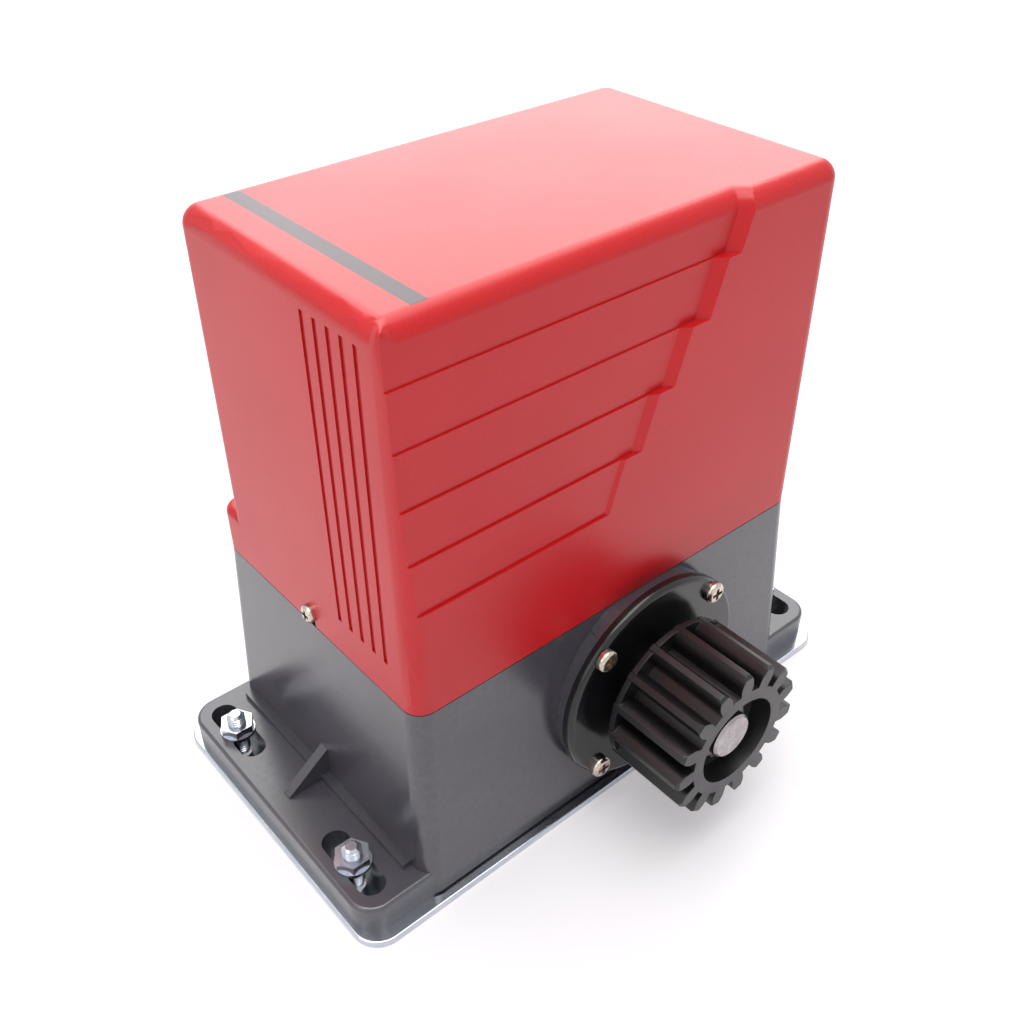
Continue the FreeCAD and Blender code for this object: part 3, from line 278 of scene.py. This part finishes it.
def roundEdges(piece, look):
    addModifier(piece, "BEVEL", width=look["radius"] * mm, segments=look["steps"], limit_method="ANGLE",
                angle_limit=math.radians(look["angle"]), use_clamp_overlap=True, miter_outer="MITER_ARC")
    activate(piece)
    bpy.ops.object.shade_smooth_by_angle(angle=math.radians(30))
    addModifier(piece, "WEIGHTED_NORMAL", mode="FACE_AREA", weight=100, keep_sharp=True)


# the cover's rear wall stands further back: what lies above its ledge and between two depths moves, in mm
coverRear = {"ledge": 116.5, "from": 38.0, "to": 50.5, "back": 9.5}


def moveRearWall(piece, look):
    bpy.ops.object.mode_set(mode="EDIT")
    bpy.ops.mesh.select_mode(type="VERT")
    bpy.ops.mesh.select_all(action="DESELECT")
    bpy.ops.object.mode_set(mode="OBJECT")
    for point in piece.data.vertices:
        y, z = point.co.y / mm, point.co.z / mm
        point.select = z > look["ledge"] and look["from"] < y < look["to"]
    bpy.ops.object.mode_set(mode="EDIT")
    bpy.ops.transform.translate(value=(0, look["back"] * mm, 0))
    bpy.ops.object.mode_set(mode="OBJECT")


# the flange boss is a plain round one: its screw lugs are trimmed off outside it, up to the cover's seam
bossTrim = {
    "centre": (10.0, 56.2),
    "inside": 46.0,
    "outside": 54.0,
    "front": 80.0,
    "depth": 20.0,
    "seam": 99.0,
    "wall": 66.5,
    "draft": 2.6,
    "facets": 144,
}


def trimBoss(piece, look):
    # cuts a ring round the boss as deep as the leaning wall
    place = (look["centre"][0] * mm, -look["front"] * mm, look["centre"][1] * mm)
    bpy.ops.mesh.primitive_circle_add(vertices=look["facets"], radius=look["outside"] * mm, location=place,
                                      rotation=(math.pi / 2, 0, 0))
    ring = bpy.context.object
    bpy.ops.object.transform_apply(location=True, rotation=True, scale=True)
    bpy.ops.object.mode_set(mode="EDIT")
    bpy.ops.mesh.extrude_edges_move()
    shrink = look["inside"] / look["outside"]
    bpy.ops.transform.resize(value=(shrink, shrink, shrink), center_override=place)
    bpy.ops.mesh.select_all(action="SELECT")
    bpy.ops.mesh.extrude_region_move(TRANSFORM_OT_translate={"value": (0, look["depth"] * mm, 0)})
    bpy.ops.mesh.select_all(action="SELECT")
    bpy.ops.mesh.normals_make_consistent(inside=False)
    lean = math.radians(look["draft"])
    bpy.ops.mesh.bisect(plane_co=(0, -look["wall"] * mm, look["seam"] * mm),
                        plane_no=(0, math.cos(lean), -math.sin(lean)), use_fill=True, clear_outer=True)
    bpy.ops.object.mode_set(mode="OBJECT")
    addModifier(piece, "BOOLEAN", object=ring, operation="DIFFERENCE", solver="EXACT")
    bpy.data.objects.remove(ring)


for node, look in edges.items():
    piece = mergedCopy(node)
    if node == "base_housing":
        trimBoss(piece, bossTrim)
    if node == "cover":
        moveRearWall(piece, coverRear)
    roundEdges(piece, look)
    piece.select_set(False)
    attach(piece, look["body"])
    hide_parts(node)
    print(node, "rounded,", len(piece.data.polygons), "faces")

# threads of the studs
# sizes in mm; a flank, the crest and the root flat are shares of the pitch
studThread = {
    "pitch": 1.25,
    "root": 3.25,
    "crest": 3.95,
    "flank": 0.38,
    "crestFlat": 0.14,
    "rootFlat": 0.10,
    "foot": 5.0,
    "turns": 16,
    "steps": 32,
    "bottom": 3.0,
    "tip": 27.0,
    "chamfer": 1.0,
    "coreOver": 0.05,
}


def threadedRod(look):
    # one pitch of the thread's outline swept up in a screw, round a plain core with chamfered ends
    pitch, rise = look["pitch"] * mm, (look["crest"] - look["root"]) * mm
    bpy.ops.mesh.primitive_plane_add(size=mm)
    thread = bpy.context.object
    bpy.ops.object.mode_set(mode="EDIT")
    bpy.ops.mesh.merge(type="CENTER")
    bpy.ops.transform.translate(value=(look["root"] * mm, 0, look["foot"] * mm))
    outline = [(rise, look["flank"]), (0, look["crestFlat"]), (-rise, look["flank"]), (0, look["rootFlat"])]
    for out, up in outline:
        bpy.ops.mesh.extrude_region_move(TRANSFORM_OT_translate={"value": (out, 0, up * pitch)})
    bpy.ops.object.mode_set(mode="OBJECT")
    addModifier(thread, "SCREW", screw_offset=pitch, iterations=look["turns"], steps=look["steps"],
                render_steps=look["steps"], use_merge_vertices=True, merge_threshold=0.001 * mm,
                use_normal_calculate=True)
    low, high = look["bottom"] * mm, look["tip"] * mm
    bpy.ops.mesh.primitive_cylinder_add(vertices=48, radius=(look["root"] + look["coreOver"]) * mm,
                                        depth=high - low, location=(0, 0, (low + high) / 2))
    core = bpy.context.object
    addModifier(core, "BEVEL", width=look["chamfer"] * mm, segments=1, limit_method="ANGLE",
                angle_limit=math.radians(60))
    activate(core)
    thread.select_set(True)
    bpy.ops.object.join()
    settle(core)
    bpy.ops.object.shade_smooth_by_angle(angle=math.radians(40))
    return core


def middles(node):
    # centres in plan of a node's four solids, one in each quarter of the frame
    quarters = {}
    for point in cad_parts[node].data.vertices:
        quarters.setdefault((point.co.x > 0, point.co.y > 0), []).append(point.co)
    spans = [[(min(values), max(values)) for values in list(zip(*group))[:2]] for group in quarters.values()]
    return [tuple((low + high) / 2 for low, high in span) for span in spans]


plainStud = threadedRod(studThread)
for number, (x, y) in enumerate(middles("anchor_studs"), 1):
    stud = plainStud.copy()
    stud.data = plainStud.data.copy()
    stud.name = "threaded_stud_" + str(number)
    bpy.context.collection.objects.link(stud)
    stud.location = (x, y, 0)
    settle(stud)
    stud.data.materials.clear()
    stud.data.materials.append(zincPlated)
    stud.select_set(False)
    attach(stud, "base")
    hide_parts("anchor_studs")
bpy.data.objects.remove(plainStud)
print("threads cut on the studs")

# small parts on the control board
# the board faces +X; places are y and z in mm on its face, sizes are depth, width and height
boardFace = 54.1
smallParts = {
    "fuse_holder": {"kind": "box", "at": [(18.0, 147.0)], "size": (7.0, 6.5, 23.0),
                    "finish": blackNylon, "slot": "black_plastic"},
    "trimmer": {"kind": "box", "at": [(28.0, 168.0), (28.0, 158.0)], "size": (5.0, 7.0, 7.0),
                "finish": relayBlue, "slot": "relay_blue"},
    "button": {"kind": "can", "at": [(-54.0, 174.0), (-45.0, 174.0)], "size": (5.0, 4.5, 4.5),
               "finish": blackNylon, "slot": "black_plastic"},
    "small_capacitor": {"kind": "can", "at": [(-34.0, 174.0), (-26.0, 174.0), (24.0, 203.0)],
                        "size": (11.0, 6.3, 6.3), "finish": sleeveBlue, "slot": "sleeve_blue"},
    "link_pins": {"kind": "box", "at": [(-8.0, 204.0), (2.0, 204.0), (12.0, 204.0)], "size": (6.0, 2.5, 12.0),
                  "finish": blackNylon, "slot": "black_plastic"},
}

for name, look in smallParts.items():
    depth, wide, high = [v * mm for v in look["size"]]
    for number, (y, z) in enumerate(look["at"], 1):
        place = (boardFace * mm + depth / 2, y * mm, z * mm)
        if look["kind"] == "box":
            bpy.ops.mesh.primitive_cube_add(size=1, location=place, scale=(depth, wide, high))
        else:
            bpy.ops.mesh.primitive_cylinder_add(vertices=40, radius=wide / 2, depth=depth, location=place,
                                                rotation=(0, math.pi / 2, 0))
        part = bpy.context.object
        part.name = name + "_" + str(number)
        settle(part)
        addModifier(part, "BEVEL", width=0.5 * mm, segments=2, limit_method="ANGLE",
                    angle_limit=math.radians(50))
        bpy.ops.object.shade_smooth_by_angle(angle=math.radians(35))
        part.data.materials.append(look["finish"])
        part.select_set(False)
        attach(part, "base")
print("small parts on the board:", sum(len(look["at"]) for look in smallParts.values()))

# studio
studio = {
    "floorSide": 12.0,
    "floorColour": "#F4F1F4",
    "floorRough": 0.9,
    "floorSpecular": 0.1,
    "glowColour": "#FFFDFF",
    "floorGlow": 0.3,
    "worldStrength": 0.5,
    "lamps": [  # name, place, aim, side x, side y, watts
        ("behind", (1.05, 1.25, 1.4), (0, 0, 0.25), 2.0, 2.4, 40),
        ("overhead", (-0.1, -0.1, 1.8), (0, 0, 0.1), 1.5, 1.5, 29),
        ("left", (-1.5, -0.2, 0.9), (0, 0, 0.12), 1.2, 1.0, 4),
    ],
}

bpy.ops.mesh.primitive_plane_add(size=studio["floorSide"], location=(0, 0, cadBox[0][2]))
floor = bpy.context.object
floor.name = "floor"
# matt background paper: pale, without a highlight of its own
floorPaint = bpy.data.materials.new("pale paper")
floorPaint.use_nodes = True
floorTree = floorPaint.node_tree
floorShader = floorTree.nodes["Principled BSDF"]
floorShader.inputs["Base Color"].default_value = sRgb(studio["floorColour"])
floorShader.inputs["Roughness"].default_value = studio["floorRough"]
floorShader.inputs["Specular IOR Level"].default_value = studio["floorSpecular"]
floor.data.materials.append(floorPaint)


def seenDirectly(tree):
    # 1 for rays that show a surface as it is, 0 for rays that only carry light on
    path = addNode(tree, "ShaderNodeLightPath")
    seen = path.outputs["Is Camera Ray"]
    for kind in ("Is Glossy Ray", "Is Transmission Ray"):
        joined = addNode(tree, "ShaderNodeMath", {0: seen, 1: path.outputs[kind]}, operation="MAXIMUM")
        seen = joined.outputs[0]
    return seen


# the paper glows a little to the eye, which whitens it and keeps its shadows soft
glow = addNode(floorTree, "ShaderNodeEmission", {"Color": sRgb(studio["glowColour"]), "Strength": 1.0})
share = addNode(floorTree, "ShaderNodeMath", {0: seenDirectly(floorTree), 1: studio["floorGlow"]},
                operation="MULTIPLY")
paper = addNode(floorTree, "ShaderNodeMixShader",
                {0: share.outputs[0], 1: floorShader.outputs[0], 2: glow.outputs[0]})
floorTree.links.new(paper.outputs[0], floorTree.nodes["Material Output"].inputs["Surface"])

world = bpy.data.worlds.new("studio")
bpy.context.scene.world = world
world.use_nodes = True
backdrop = world.node_tree.nodes["Background"]
level = addNode(world.node_tree, "ShaderNodeMapRange",
                {"Value": seenDirectly(world.node_tree), "To Min": studio["worldStrength"], "To Max": 1.0})
world.node_tree.links.new(level.outputs["Result"], backdrop.inputs["Strength"])
backdrop.inputs["Color"].default_value = (1, 1, 1, 1)

for name, place, aim, sideX, sideY, watts in studio["lamps"]:
    bpy.ops.object.light_add(type="AREA", location=place)
    lamp = bpy.context.object
    lamp.name = name + " softbox"
    lamp.data.shape = "RECTANGLE"
    lamp.data.size = sideX
    lamp.data.size_y = sideY
    lamp.data.energy = watts
    lamp.rotation_euler = (Vector(aim) - Vector(place)).to_track_quat("-Z", "Y").to_euler()
print("studio lit with", len(studio["lamps"]), "softboxes")

# camera
# place in metres, turn and roll in degrees, lens in mm
shot = {"place": (-0.2478, -0.2932, 0.3939), "turn": (52.81, 0.0, -40.07), "roll": -0.41, "lens": 39.87}
bpy.ops.object.camera_add(location=shot["place"])
camera = bpy.context.object
facing = Euler([math.radians(a) for a in shot["turn"]]).to_matrix()
rolled = facing @ Euler((0, 0, math.radians(shot["roll"]))).to_matrix()
camera.rotation_euler = rolled.to_euler()
camera.data.lens = shot["lens"]
camera.data.sensor_width = 36
camera.data.clip_start = 0.01
camera.data.clip_end = 100
bpy.context.scene.camera = camera
bpy.context.scene.view_settings.view_transform = "Standard"
